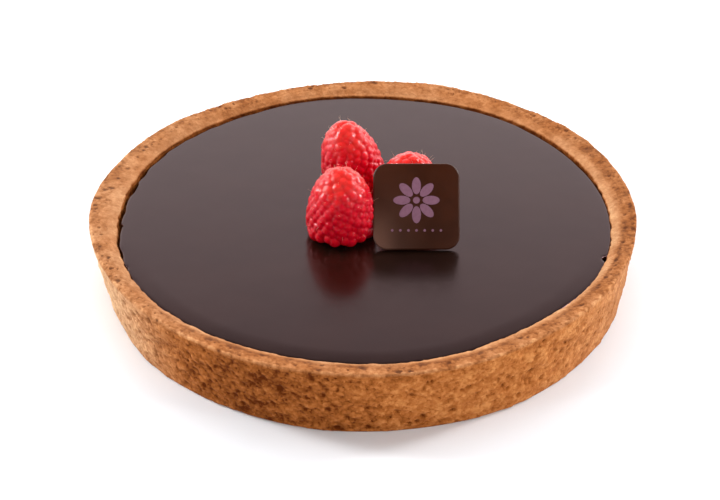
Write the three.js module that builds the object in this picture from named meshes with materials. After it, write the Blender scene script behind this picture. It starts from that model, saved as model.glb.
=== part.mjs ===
// Chocolate raspberry tart: a baked shortcrust shell, a poured chocolate
// filling, three raspberries and a thin square chocolate plaque that leans on
// one of them. Millimetres, +Z up. The origin is on the table, under the
// middle of the rim, and -Y is the front.

import * as THREE from 'three';
import { ConvexGeometry } from 'three/addons/geometries/ConvexGeometry.js';
import { mergeVertices } from 'three/addons/utils/BufferGeometryUtils.js';

// Driving dimensions of the shell and its filling
const RIM_RADIUS = 90.2;
const FOOT_RADIUS = 86.2;
const SHELL_HEIGHT = 25;
const RIM_WIDTH = 8.35;
const RIM_FALL = 1.9;
const RIM_EDGE = 0.7;
const FOOT_EDGE = 1.1;
const FLOOR_THICKNESS = 5;
const CAVITY_TAPER = 2.6;
const FILLING_DEPTH_BELOW_RIM = 2.5;
const FILLING_CREEP = 0.2;
const FILLING_CREEP_WIDTH = 1.3;
const PIECE_GAP = 0.3;
const AROUND = 112;

// A baked shell is never a true circle. Each term is [waves round the tart,
// height of the wave in millimetres, angle of its crest in degrees].
const RIM_WOBBLE = [[1, 0.3, 90], [2, 0.6, 45], [3, 0.9, 45], [4, 0.45, 75], [10, 0.2, 70]];
const FOOT_WOBBLE = [[2, 0.5, -45], [3, 0.2, -100], [9, 0.2, -100]];
const INNER_WOBBLE = [[2, 0.5, 57], [5, 0.25, -16], [6, 0.27, -21], [8, 0.17, 15]];
const RIM_HEIGHT_WOBBLE = [[1, 0.25, 300], [3, 0.25, 350], [6, 0.2, 20]];

// Relief of the crumbly crust
const CRUST_RELIEF = 0.45;
const CRUST_LUMP = 5.5;

// Raspberries
const DRUPELET_RADIUS = 2.15;
const DRUPELET_PITCH = 3.75;
const ROW_PITCH = 3.35;
const TIP_SHRINK = 0.22;
const SIZE_SCATTER = 0.12;
const SKIN_SPLIT = 4;

// Chocolate plaque
const PLAQUE_SIDE = 27.9;
const PLAQUE_THICKNESS = 1.6;
const PLAQUE_CORNER = 4.6;
const PLAQUE_BEVEL = 0.3;
const PLAQUE_LEAN = 39;
const PLAQUE_X = 16.7;
const PLAQUE_FOOT_Y = -22.3;

const FILLING_TOP = SHELL_HEIGHT - FILLING_DEPTH_BELOW_RIM;

// Each raspberry stands on its open end. Its tip hangs over by the given
// distance, to the right and to the back.
const BERRIES = [
  { name: 'raspberry_front', x: -7.8, y: -12.5, radius: 11.55, height: 24.6,
    bluntness: 2.7, tipX: 0, tipY: 0, turn: 0.3, seed: 11 },
  { name: 'raspberry_back', x: -2.3, y: 15, radius: 11.2, height: 26.4,
    bluntness: 2.65, tipX: -4.4, tipY: 0, turn: 1.1, seed: 47 },
  { name: 'raspberry_right', x: 14.4, y: 0.2, radius: 10.8, height: 22.5,
    bluntness: 4, tipX: 0.6, tipY: 0, turn: 2.0, seed: 83 },
];

const MATERIALS = {
  crust: new THREE.MeshStandardMaterial({ color: 0xbd7a43, roughness: 0.85, metalness: 0 }),
  chocolate: new THREE.MeshStandardMaterial({ color: 0x351c14, roughness: 0.22, metalness: 0 }),
  plaque: new THREE.MeshStandardMaterial({ color: 0x3c1f14, roughness: 0.35, metalness: 0 }),
  raspberry: new THREE.MeshStandardMaterial({ color: 0xc4152b, roughness: 0.4, metalness: 0 }),
};

const radians = THREE.MathUtils.degToRad;

// Sum of a wobble's waves at an angle round the tart
function wobble(waves, angle) {
  return waves.reduce(
    (sum, [count, height, crest]) => sum + height * Math.cos(count * (angle - radians(crest))), 0);
}

// A repeatable number from 0 to 1 for each whole number
function scatter(n) {
  const wave = Math.sin(n * 12.9898) * 43758.5453;
  return wave - Math.floor(wave);
}

// Smooth noise from -1 to 1, with lumps of the given size
function lumps(x, y, z, size) {
  const cell = [x, y, z].map((v) => Math.floor(v / size));
  const share = [x, y, z].map((v, i) => THREE.MathUtils.smoothstep(v / size - cell[i], 0, 1));
  let sum = 0;
  for (const corner of [0, 1, 2, 3, 4, 5, 6, 7]) {
    const step = [corner & 1, (corner >> 1) & 1, corner >> 2];
    const weight = step.reduce((w, s, i) => w * (s ? share[i] : 1 - share[i]), 1);
    const [i, j, k] = step.map((s, axis) => cell[axis] + s);
    sum += weight * scatter(i + 57 * j + 113 * k);
  }
  return 2 * sum - 1;
}

// How far a point at this radius and share of the shell's height belongs to the
// inside of the shell, from 0 on the outer wall to 1 on the inner wall
function innerShare(radius, up) {
  const outer = THREE.MathUtils.lerp(FOOT_RADIUS, RIM_RADIUS, up);
  return THREE.MathUtils.smoothstep(outer - radius, FOOT_EDGE, RIM_WIDTH);
}

// Moves each point of a round piece out or in, so that shell and filling
// follow the same hand-made outline
function shapeByHand(geometry, reliefDepth) {
  const position = geometry.getAttribute('position');
  for (let i = 0; i < position.count; i += 1) {
    const x = position.getX(i);
    const y = position.getY(i);
    const z = position.getZ(i);
    const radius = Math.hypot(x, y);
    const angle = Math.atan2(y, x);
    const up = z / SHELL_HEIGHT;
    const inside = innerShare(radius, up);
    const outerMove = THREE.MathUtils.lerp(wobble(FOOT_WOBBLE, angle), wobble(RIM_WOBBLE, angle), up);
    const innerMove = wobble(INNER_WOBBLE, angle);
    const relief = (1 - inside) * reliefDepth * lumps(x, y, z, CRUST_LUMP);
    const nearWall = THREE.MathUtils.smoothstep(radius, 0, 0.8 * RIM_RADIUS);
    const onGround = z > 0.01 ? 1 : 0;
    const move = nearWall * THREE.MathUtils.lerp(outerMove, innerMove, inside) + onGround * relief;
    const scale = radius > 0 ? (radius + move) / radius : 1;
    const atRim = THREE.MathUtils.smoothstep(z, FILLING_TOP + FILLING_CREEP, SHELL_HEIGHT);
    const rise = atRim * (wobble(RIM_HEIGHT_WOBBLE, angle)
      + reliefDepth * lumps(x + 40, y, z, CRUST_LUMP));
    position.setXYZ(i, x * scale, y * scale, z + rise);
  }
  return geometry;
}

// A closed round solid from a profile of [radius, height] points
function turned(profile, segments) {
  const points = profile.map(([radius, height]) => new THREE.Vector2(radius, height));
  const geometry = new THREE.LatheGeometry(points, segments).rotateX(Math.PI / 2);
  geometry.deleteAttribute('normal');
  geometry.deleteAttribute('uv');
  return mergeVertices(geometry, 1e-3);
}

// Points of a straight stretch of profile, without its first point
function stretch([r0, z0], [r1, z1], steps) {
  return Array.from({ length: steps }, (_, i) => {
    const share = (i + 1) / steps;
    return [THREE.MathUtils.lerp(r0, r1, share), THREE.MathUtils.lerp(z0, z1, share)];
  });
}

// Points of the rim's top, which falls towards the filling ever more steeply
function fallingRim([r0, z0], [r1, z1], steps) {
  return stretch([r0, z0], [r1, z1], steps).map(([radius], i) => {
    const share = (i + 1) / steps;
    return [radius, z0 + (z1 - z0) * share ** 3];
  });
}

const INNER_RADIUS = RIM_RADIUS - RIM_WIDTH;
const LIP_HEIGHT = SHELL_HEIGHT - RIM_FALL - RIM_EDGE;
const CAVITY_FOOT_RADIUS = INNER_RADIUS - CAVITY_TAPER;

function makeShell() {
  const foot = [FOOT_RADIUS, FOOT_EDGE];
  const brow = [RIM_RADIUS, SHELL_HEIGHT - RIM_EDGE];
  const crown = [RIM_RADIUS - RIM_EDGE, SHELL_HEIGHT];
  const lip = [INNER_RADIUS + RIM_EDGE, SHELL_HEIGHT - RIM_FALL];
  const profile = [
    [0, 0],
    [FOOT_RADIUS - FOOT_EDGE, 0],
    foot,
    ...stretch(foot, brow, 7),
    crown,
    ...fallingRim(crown, lip, 4),
    [INNER_RADIUS, LIP_HEIGHT],
    [CAVITY_FOOT_RADIUS, FLOOR_THICKNESS],
    [0, FLOOR_THICKNESS],
  ];
  return shapeByHand(turned(profile, AROUND), CRUST_RELIEF);
}

// The chocolate creeps up a little where it meets the crust
function makeFilling() {
  const depthShare = (LIP_HEIGHT - FILLING_TOP) / (LIP_HEIGHT - FLOOR_THICKNESS);
  const edge = THREE.MathUtils.lerp(INNER_RADIUS, CAVITY_FOOT_RADIUS, depthShare) - PIECE_GAP;
  const profile = [
    [0, FLOOR_THICKNESS + PIECE_GAP],
    [CAVITY_FOOT_RADIUS - PIECE_GAP, FLOOR_THICKNESS + PIECE_GAP],
    [edge, FILLING_TOP + FILLING_CREEP],
    [edge - FILLING_CREEP_WIDTH, FILLING_TOP],
    [0, FILLING_TOP],
  ];
  return shapeByHand(turned(profile, AROUND), 0);
}

// The curve that the drupelets' middles lie on: [radius, height] at t, from 0
// at the open end, which stands on the chocolate, to 1 at the tip
function berryCurve({ radius, height, bluntness }, t) {
  const narrowing = (1 - t ** bluntness) ** 0.62 - 0.06 * (1 - t) ** 6;
  return [
    (radius - DRUPELET_RADIUS) * narrowing,
    DRUPELET_RADIUS + t * (height - 2 * DRUPELET_RADIUS),
  ];
}

// Places drupelets in rows at even steps along the curve
function drupelets(berry) {
  const fine = 400;
  const along = [0];
  for (let i = 1; i <= fine; i += 1) {
    const [r0, z0] = berryCurve(berry, (i - 1) / fine);
    const [r1, z1] = berryCurve(berry, i / fine);
    along.push(along[i - 1] + Math.hypot(r1 - r0, z1 - z0));
  }
  const rows = Math.round(along[fine] / ROW_PITCH);
  const found = [];
  for (let row = 0; row <= rows; row += 1) {
    const t = along.findIndex((length) => length >= (row / rows) * along[fine] - 1e-9) / fine;
    const [radius, height] = berryCurve(berry, t);
    const count = Math.max(1, Math.round((2 * Math.PI * radius) / DRUPELET_PITCH));
    for (let k = 0; k < count; k += 1) {
      const n = berry.seed + 31 * row + k;
      const angle = berry.turn + (2 * Math.PI * (k + row / 2 + 0.25 * (scatter(n) - 0.5))) / count;
      const size = DRUPELET_RADIUS * (1 - TIP_SHRINK * t) * (1 + SIZE_SCATTER * (scatter(n + 500) - 0.5));
      const middle = new THREE.Vector3(
        radius * Math.cos(angle) + t * berry.tipX, radius * Math.sin(angle) + t * berry.tipY, height);
      found.push({ middle, size });
    }
  }
  return found;
}

// The furthest point of the drupelets from the berry's core, straight through
// a point of the skin, or the point itself where no drupelet is
function outOverDrupelets(point, core, balls) {
  const direction = point.clone().sub(core);
  let reach = direction.length();
  direction.normalize();
  for (const { middle, size } of balls) {
    const toMiddle = middle.clone().sub(core);
    const along = toMiddle.dot(direction);
    const inside = along ** 2 - toMiddle.lengthSq() + size ** 2;
    if (inside > 0) reach = Math.max(reach, along + Math.sqrt(inside));
  }
  return direction.multiplyScalar(reach).add(core);
}

// A skin is stretched over the drupelets' middles, each of its triangles is
// split, and every corner moves out to the drupelet above it
function makeRaspberry(berry) {
  const balls = drupelets(berry);
  const core = new THREE.Vector3(0.4 * berry.tipX, 0.4 * berry.tipY, 0.4 * berry.height);
  const skin = new ConvexGeometry(balls.map(({ middle }) => middle)).getAttribute('position');
  const corners = [];
  for (let i = 0; i < skin.count; i += 3) {
    const [a, b, c] = [0, 1, 2].map((k) => new THREE.Vector3().fromBufferAttribute(skin, i + k));
    const at = (u, v) => outOverDrupelets(
      a.clone().lerp(b, u / SKIN_SPLIT).addScaledVector(c.clone().sub(a), v / SKIN_SPLIT), core, balls);
    for (let u = 0; u < SKIN_SPLIT; u += 1) {
      for (let v = 0; v < SKIN_SPLIT - u; v += 1) {
        corners.push(at(u, v), at(u + 1, v), at(u, v + 1));
        if (u + v < SKIN_SPLIT - 1) corners.push(at(u + 1, v), at(u + 1, v + 1), at(u, v + 1));
      }
    }
  }
  return mergeVertices(new THREE.BufferGeometry().setFromPoints(corners), 1e-3);
}

// A square with round corners, lying down with its front edge on the x axis
function makePlaque() {
  const half = PLAQUE_SIDE / 2 - PLAQUE_BEVEL;
  const corner = PLAQUE_CORNER - PLAQUE_BEVEL;
  const outline = new THREE.Shape();
  outline.moveTo(-half + corner, 0);
  for (const [cx, cy, start] of [
    [half - corner, corner, -90],
    [half - corner, 2 * half - corner, 0],
    [-half + corner, 2 * half - corner, 90],
    [-half + corner, corner, 180],
  ]) {
    outline.absarc(cx, cy, corner, radians(start), radians(start + 90), false);
  }
  const geometry = new THREE.ExtrudeGeometry(outline, {
    depth: PLAQUE_THICKNESS - 2 * PLAQUE_BEVEL,
    bevelEnabled: true,
    bevelThickness: PLAQUE_BEVEL,
    bevelSize: PLAQUE_BEVEL,
    bevelSegments: 2,
    curveSegments: 7,
  });
  geometry.translate(0, PLAQUE_BEVEL, PLAQUE_BEVEL);
  geometry.deleteAttribute('normal');
  geometry.deleteAttribute('uv');
  return mergeVertices(geometry, 1e-3);
}

function named(name, geometry, material) {
  const mesh = new THREE.Mesh(geometry, material);
  mesh.name = name;
  return mesh;
}

// Sets a turned piece down so that its lowest point just clears the filling
function standOnFilling(mesh) {
  const box = new THREE.Box3().setFromObject(mesh, true);
  mesh.position.z += FILLING_TOP + PIECE_GAP - box.min.z;
}

const tart = new THREE.Group();
tart.add(named('tart_shell', makeShell(), MATERIALS.crust));
tart.add(named('chocolate_filling', makeFilling(), MATERIALS.chocolate));

for (const berry of BERRIES) {
  const mesh = named(berry.name, makeRaspberry(berry), MATERIALS.raspberry);
  mesh.position.set(berry.x, berry.y, 0);
  standOnFilling(mesh);
  tart.add(mesh);
}

// The plaque faces the front and leans back by its own weight
const plaque = named('chocolate_plaque', makePlaque(), MATERIALS.plaque);
plaque.position.set(PLAQUE_X, PLAQUE_FOOT_Y, 0);
plaque.rotation.x = radians(90 - PLAQUE_LEAN);
standOnFilling(plaque);
tart.add(plaque);

export default tart;
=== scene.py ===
"""A chocolate raspberry tart: crumbly baked crust, smooth dark chocolate, three
raspberries and a thin chocolate plaque that leans on one of them.

Everything is in metres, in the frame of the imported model: +Z up, the front at -Y."""

import bisect
import math
import random
from functools import cache
from typing import Callable, NamedTuple

import bmesh
import bpy
from bpy.props import FloatProperty, FloatVectorProperty, IntProperty, PointerProperty
from bpy.types import Operator, Panel, PropertyGroup
from mathutils import Matrix, Vector, kdtree, noise


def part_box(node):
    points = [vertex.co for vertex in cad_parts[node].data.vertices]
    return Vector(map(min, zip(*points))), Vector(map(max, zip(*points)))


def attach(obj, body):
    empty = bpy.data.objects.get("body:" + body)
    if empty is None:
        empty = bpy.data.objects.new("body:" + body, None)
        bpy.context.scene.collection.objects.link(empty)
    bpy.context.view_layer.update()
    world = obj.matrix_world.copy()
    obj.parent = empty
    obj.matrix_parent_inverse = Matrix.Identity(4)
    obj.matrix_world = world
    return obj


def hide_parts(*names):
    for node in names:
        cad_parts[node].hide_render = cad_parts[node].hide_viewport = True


bl_info = {
    "name": "Chocolate Raspberry Tart",
    "version": (1, 0, 0),
    "blender": (4, 5, 0),
    "location": "3D View > Sidebar > Tart",
    "description": "Bakes, fills and decorates a chocolate raspberry tart",
    "category": "Object",
}

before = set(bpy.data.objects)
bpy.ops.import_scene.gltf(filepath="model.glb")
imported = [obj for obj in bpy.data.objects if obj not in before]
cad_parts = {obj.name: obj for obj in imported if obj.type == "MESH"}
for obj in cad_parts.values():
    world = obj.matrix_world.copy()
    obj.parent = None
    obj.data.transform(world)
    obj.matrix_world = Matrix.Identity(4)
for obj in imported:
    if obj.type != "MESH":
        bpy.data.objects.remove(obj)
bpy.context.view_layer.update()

MM = 0.001

# The hand-made outline of the tart. Each wave is (waves round the tart, height
# in millimetres, angle of a crest in degrees). Angles are rounded to some digits,
# so that the waves are worked out only once for each.
RIM_WAVES = ((1, 0.3, 90), (2, 0.6, 45), (3, 0.9, 45), (4, 0.45, 75), (10, 0.2, 70))
FOOT_WAVES = ((2, 0.5, -45), (3, 0.2, -100), (9, 0.2, -100))
INNER_WAVES = ((2, 0.5, 57), (5, 0.25, -16), (6, 0.27, -21), (8, 0.17, 15))
RIM_HEIGHT_WAVES = ((1, 0.25, 300), (3, 0.25, 350), (6, 0.2, 20))
ANGLE_DIGITS = 5

# The section of the shell: the round edges of foot and rim, how far the rim falls
# inwards, how far the cavity narrows on its way down, and where its floor lies
FOOT_EDGE = 1.1 * MM
RIM_EDGE = 0.7 * MM
RIM_FALL = 1.9 * MM
CAVITY_TAPER = 2.6 * MM
CAVITY_FLOOR = 5 * MM

# Heights between which the foot of the inner face is painted darker, as shade in the
# gap where the chocolate draws back, at the front and at the back
GAP_SHADE_AT_FRONT = (22.0 * MM, 22.5 * MM)
GAP_SHADE_AT_BACK = (22.3 * MM, 23.1 * MM)

# Noise of the crust, in lumps for each metre, the size of its broad lumps in
# millimetres, and one seed for its pits and crumbs and for noise that gives a
# vector, which would otherwise change from run to run
PATCHES = 150
PEBBLES = 300
FLAKES = 700
SHIFTS = 900
GRAINS = 1100
BROAD_LUMP = 5.5
CRUST_SEED = 5

# Where the wall is darkest, how far that spreads, and the middle of the side that
# faces away from it, which is also darker, as angles round the tart
DARKEST_WALL = math.radians(-110)
DARKEST_WALL_SPREAD = math.radians(24)
DARKER_WALL_SIDE = math.radians(60)

# More places round the tart: where the wall is roughest, where the rim is grooved
# and where it is baked darkest
ROUGHEST = math.radians(-100)
GROOVED = math.radians(-50)
DARK_RIM = math.radians(5)

# The edge of the chocolate: how far it creeps up the crust and reaches into it,
# how wide and how deep it is and how far its corner is rounded down
CREEP = 0.2 * MM
EDGE_REACH = 0.15 * MM
EDGE_WIDTH = 7 * MM
EDGE_DEPTH = 1.6 * MM
EDGE_DROP = 0.4 * MM

# Where the chocolate has drawn back from the crust: the middles of the wide gap at
# the left and of the small one at the back, and how far the small one spreads
WIDE_GAP = math.radians(158)
SMALL_GAP = math.radians(35)
SMALL_GAP_SPREAD = math.radians(22)

# Nicks in its edge: place and half width in degrees, depth in millimetres
NICKS = ((-19.3, 1.0, 1.3), (168.5, 2.6, 1.0), (-174.7, 0.7, 0.5), (-157, 0.6, 0.5))


class Berry(NamedTuple):
    """A raspberry: its CAD node, the middle of its foot, its size and how far its
    tip hangs to the right, in millimetres, how blunt it is, and its own turn in
    radians and seed."""

    node: str
    x: float
    y: float
    radius: float
    height: float
    tip_x: float
    bluntness: float
    turn: float
    seed: int


BERRIES = (
    Berry("raspberry_front", -7.8, -12.5, 11.55, 24.6, 0.2, 2.7, 0.3, 11),
    Berry("raspberry_back", -2.3, 15.0, 11.2, 26.4, -4.4, 2.65, 1.1, 47),
    Berry("raspberry_right", 14.4, 0.2, 10.8, 22.5, 0.6, 4.0, 2.0, 83),
)

# Drupelets: steps of the curve that they follow, the turn from one to the next,
# how far each strays from its place, and how many are made at a time
CURVE_STEPS = 400
GOLDEN_ANGLE = math.radians(137.508)
DRUPELET_WANDER = 1.0 * MM
DRUPELETS_A_BATCH = 30

# How deep berries and plaque are set into the chocolate
BERRY_DIP = 0.15 * MM
PLAQUE_DIP = 0.3 * MM

# The fine hairs: radius at root and tip, how far they bend, and their colours
HAIR_ROOT = 0.028 * MM
HAIR_TIP = 0.01 * MM
HAIR_BEND = 0.9 * MM
HAIR_AMBER = (0.80, 0.48, 0.30)
HAIR_PALE = (0.88, 0.66, 0.46)

# Radius of the round edges of the plaque
PLAQUE_EDGE = 0.55 * MM

# The print on the plaque: where blossom and dots stand as shares of its side,
# and the sizes of heart, petals and dots
HEART_AT = 0.57
DOTS_AT = 0.22
HEART_RADIUS = 1.1 * MM
PETALS = 8
PETAL_REACH = 4.7 * MM
PETAL_RADIUS = 1.45 * MM
PETAL_LENGTHENING = 1.9
DOTS = 7
DOT_RADIUS = 0.42 * MM
DOT_PITCH = 2.6 * MM
PRINT_THICKNESS = 0.04 * MM

# The camera, the side of the floor in metres, and the brightness of the backdrop
# by the height that is looked at and, as from, to, least and most, by how far to
# the back
CAMERA_PLACE = (-0.00145, -0.4509, 0.3071)
CAMERA_DIP = math.radians(33.58)
SENSOR_WIDTH = 36
FLOOR_SIDE = 6
BACKDROP_LEVELS = ((0.38, 1.0), (0.49, 0.93), (0.616, 0.5), (0.76, 0.1))
BACKDROP_DEPTH = (-0.25, 0.5, 0.2, 1.7)

# Each lamp: name, place, width and height in metres, and power in watts. All are
# turned to the same point, and the fill cards aren't mirrored in anything.
LAMP_AIM = Vector((0, 0, 0.02))
LAMPS = (
    ("softbox_left", (-0.9, 0.2, 0.6), (0.18, 0.65), 10),
    ("softbox_right", (0.9, 0.3, 0.6), (0.18, 0.65), 8),
    ("fill_card_top", (0.0, 0.25, 1.2), (0.8, 0.8), 6),
    ("fill_card_front", (0.45, -1.0, 0.7), (0.9, 0.9), 7),
    ("softbox_front_left", (-0.8, -0.45, 0.4), (0.04, 0.6), 1.8),
    ("softbox_front_right", (0.85, -0.4, 0.4), (0.04, 0.6), 2),
)


class CrustSettings(PropertyGroup):
    rim_radius: FloatProperty(
        name="Rim Radius", description="Radius of the shell at its rim",
        default=90.2 * MM, unit="LENGTH")
    foot_radius: FloatProperty(
        name="Foot Radius", description="Radius of the shell where it stands",
        default=86.2 * MM, unit="LENGTH")
    height: FloatProperty(
        name="Height", description="Height of the shell", default=25 * MM, unit="LENGTH")
    rim_width: FloatProperty(
        name="Rim Width", description="Thickness of the wall at the rim",
        default=8.35 * MM, unit="LENGTH")
    around: IntProperty(
        name="Steps Around", description="Faces round the shell", default=1020)
    relief: FloatProperty(
        name="Relief", description="Depth of the broad lumps of the wall",
        default=0.45 * MM, unit="LENGTH")
    golden: FloatVectorProperty(
        name="Golden", description="Colour of the raised crumbs", subtype="COLOR",
        size=3, min=0, max=1, default=(0.60, 0.24, 0.072))
    baked: FloatVectorProperty(
        name="Baked", description="Colour of the evenly baked crust", subtype="COLOR",
        size=3, min=0, max=1, default=(0.42, 0.135, 0.032))
    toasted: FloatVectorProperty(
        name="Toasted", description="Colour of the darker patches", subtype="COLOR",
        size=3, min=0, max=1, default=(0.27, 0.077, 0.014))
    # The darkest colour. It is reached where the tone carries painted shade in pits, cracks and the
    # chocolate's gap.
    browned_and_shaded: FloatVectorProperty(
        name="Browned", description="Colour of the pits and cracks", subtype="COLOR",
        size=3, min=0, max=1, default=(0.105, 0.020, 0.0020))
    # Pale colour of flour. On the left wall and rim it also paints the sheen of glancing light.
    flour_and_sheen: FloatVectorProperty(
        name="Flour", description="Colour of the pale bloom on sides and rim", subtype="COLOR",
        size=3, min=0, max=1, default=(0.84, 0.68, 0.44))


class ChocolateSettings(PropertyGroup):
    colour: FloatVectorProperty(
        name="Chocolate", description="Colour of the filling", subtype="COLOR",
        size=3, min=0, max=1, default=(0.0075, 0.0030, 0.0019))
    roughness: FloatProperty(
        name="Roughness", description="How much the surface blurs what it mirrors",
        default=0.2, min=0, max=1, subtype="FACTOR")
    around: IntProperty(
        name="Steps Around", description="Faces round the filling", default=720)


class RaspberrySettings(PropertyGroup):
    drupelet_radius: FloatProperty(
        name="Drupelet Radius", description="Radius of a drupelet at the foot",
        default=1.36 * MM, unit="LENGTH")
    drupelet_pitch: FloatProperty(
        name="Drupelet Pitch", description="Distance of drupelets from side to side",
        default=2.34 * MM, unit="LENGTH")
    stretch: FloatProperty(
        name="Stretch", description="How much longer than wide a drupelet is",
        default=1.25, subtype="FACTOR")
    skin_detail: FloatProperty(
        name="Skin Detail", description="Size of the faces of the skin",
        default=0.23 * MM, unit="LENGTH")
    hair_length: FloatProperty(
        name="Hair Length", description="Length of the fine hairs",
        default=2.3 * MM, unit="LENGTH")
    ripe: FloatVectorProperty(
        name="Ripe", description="Colour of the flesh", subtype="COLOR",
        size=3, min=0, max=1, default=(0.61, 0.0010, 0.014))
    # Lighter towards the tip, which is partly painted light falling from above. It is also given to random
    # cells.
    bright: FloatVectorProperty(
        name="Bright", description="Colour of the drupelets near the tip", subtype="COLOR",
        size=3, min=0, max=1, default=(0.68, 0.037, 0.028))
    # Darker red between the drupelets: painted shade in the creases.
    deep: FloatVectorProperty(
        name="Deep", description="Colour between the drupelets", subtype="COLOR",
        size=3, min=0, max=1, default=(0.26, 0.0015, 0.005))


class PlaqueSettings(PropertyGroup):
    side: FloatProperty(
        name="Side", description="Side of the square plaque", default=27.9 * MM, unit="LENGTH")
    thickness: FloatProperty(
        name="Thickness", description="Thickness of the plaque", default=1.6 * MM, unit="LENGTH")
    corner: FloatProperty(
        name="Corner", description="Radius of its corners", default=4.6 * MM, unit="LENGTH")
    lean: FloatProperty(
        name="Lean", description="How far it leans back from upright",
        default=math.radians(39), subtype="ANGLE")
    chocolate: FloatVectorProperty(
        name="Chocolate", description="Colour of the plaque", subtype="COLOR",
        size=3, min=0, max=1, default=(0.031, 0.0068, 0.0018))
    # A pale patch at the lower left of the plaque: a painted sheen of reflected light.
    painted_sheen: FloatVectorProperty(
        name="Bloom", description="Colour of the pale bloom at its lower left", subtype="COLOR",
        size=3, min=0, max=1, default=(0.075, 0.034, 0.023))
    print_colour: FloatVectorProperty(
        name="Print", description="Colour of the printed blossom", subtype="COLOR",
        size=3, min=0, max=1, default=(0.195, 0.085, 0.13))


class StageSettings(PropertyGroup):
    focal_length: FloatProperty(
        name="Focal Length", description="Focal length of the camera in millimetres",
        default=80)
    floor_colour: FloatVectorProperty(
        name="Floor", description="Colour of the floor", subtype="COLOR",
        size=3, min=0, max=1, default=(0.81, 0.83, 0.86))


def wave_sum(waves, angle):
    """Height of the waves at an angle round the tart, in metres."""
    return MM * sum(height * math.cos(count * (angle - math.radians(crest)))
                    for count, height, crest in waves)


def mix(a, b, share):
    return a + (b - a) * share


def smooth_step(value, start, end):
    share = min(max((value - start) / (end - start), 0), 1)
    return share * share * (3 - 2 * share)


def scatter(n):
    """A repeatable number from 0 to 1 for each whole number."""
    wave = math.sin(n * 12.9898) * 43758.5453
    return wave - math.floor(wave)


def lumps(x, y, z, size):
    """Smooth noise from -1 to 1, with lumps of the given size."""
    place = (x / size, y / size, z / size)
    cell = [math.floor(v) for v in place]
    share = [smooth_step(v - c, 0, 1) for v, c in zip(place, cell)]
    total = 0
    for corner in range(8):
        step = (corner & 1, (corner >> 1) & 1, corner >> 2)
        weight = 1
        for s, part in zip(step, share):
            weight *= part if s else 1 - part
        i, j, k = (c + s for c, s in zip(cell, step))
        total += weight * scatter(i + 57 * j + 113 * k)
    return 2 * total - 1


@cache
def waves_at(angle):
    """The outlines of foot, rim and inside and the rim's rise at an angle."""
    return tuple(wave_sum(waves, angle)
                 for waves in (FOOT_WAVES, RIM_WAVES, INNER_WAVES, RIM_HEIGHT_WAVES))


def hand_shape(crust, x, y, z):
    """How far a point of the lathe-turned tart moves out, how far it belongs to
    the inside of the shell, and the rim's rise at its angle."""
    radius = math.hypot(x, y)
    foot, rim, inner, rise = waves_at(round(math.atan2(y, x), ANGLE_DIGITS))
    up = z / crust.height
    outer = mix(crust.foot_radius, crust.rim_radius, up)
    inside = smooth_step(outer - radius, FOOT_EDGE, crust.rim_width)
    near_wall = smooth_step(radius, 0, 0.8 * crust.rim_radius)
    return near_wall * mix(mix(foot, rim, up), inner, inside), inside, rise


def start_piece(name):
    """Deselects everything, so that the next primitive is alone, and returns a
    function that names it."""
    bpy.ops.object.select_all(action="DESELECT")

    def take():
        piece = bpy.context.object
        piece.name = name
        piece.data.name = name
        return piece

    return take


def edit(piece):
    bpy.context.view_layer.objects.active = piece
    bpy.ops.object.mode_set(mode="EDIT")


def leave_edit():
    bpy.ops.object.mode_set(mode="OBJECT")


def push_out(vertex, by):
    """Moves a vertex away from the middle of the tart."""
    radius = math.hypot(vertex.co.x, vertex.co.y)
    if radius > 0:
        vertex.co.x *= (radius + by) / radius
        vertex.co.y *= (radius + by) / radius


def apply_modifier(piece, kind, **settings):
    modifier = piece.modifiers.new(kind.title(), kind)
    for key, value in settings.items():
        setattr(modifier, key, value)
    bpy.ops.object.modifier_apply(modifier=modifier.name)


def turn_profile(name, profile, around):
    """Draws the profile of (radius, height) points edge by edge and spins it
    round the middle of the tart."""
    take = start_piece(name)
    first = Vector((profile[0][0], 0, profile[0][1]))
    bpy.ops.mesh.primitive_plane_add(size=MM, location=first)
    piece = take()
    bpy.ops.object.transform_apply(location=True, rotation=False, scale=False)
    edit(piece)
    bpy.ops.mesh.select_all(action="SELECT")
    bpy.ops.mesh.merge(type="CENTER")
    for (r0, z0), (r1, z1) in zip(profile, profile[1:]):
        bpy.ops.mesh.extrude_region_move(
            TRANSFORM_OT_translate={"value": (r1 - r0, 0, z1 - z0)})
    bpy.ops.mesh.select_all(action="SELECT")
    bpy.ops.mesh.spin(
        steps=around, angle=2 * math.pi, center=(0, 0, 0), axis=(0, 0, 1), use_auto_merge=True)
    bpy.ops.mesh.select_all(action="SELECT")
    bpy.ops.mesh.remove_doubles(threshold=0.01 * MM)
    bpy.ops.mesh.normals_make_consistent(inside=False)
    leave_edit()
    return piece


def stretch(start, end, step):
    """Points from start to end, without start, no further apart than step."""
    count = max(1, math.ceil(math.dist(start, end) / step))
    return [(mix(start[0], end[0], i / count), mix(start[1], end[1], i / count))
            for i in range(1, count + 1)]


def arc(middle, radius, from_angle, to_angle, count):
    """Points of a round edge, without its first, angles in degrees."""
    points = []
    for i in range(1, count + 1):
        angle = math.radians(mix(from_angle, to_angle, i / count))
        points.append((middle[0] + radius * math.cos(angle), middle[1] + radius * math.sin(angle)))
    return points


def add_attribute(piece, name, values):
    layer = piece.data.attributes.new(name, "FLOAT", "POINT")
    layer.data.foreach_set("value", values)


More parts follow.
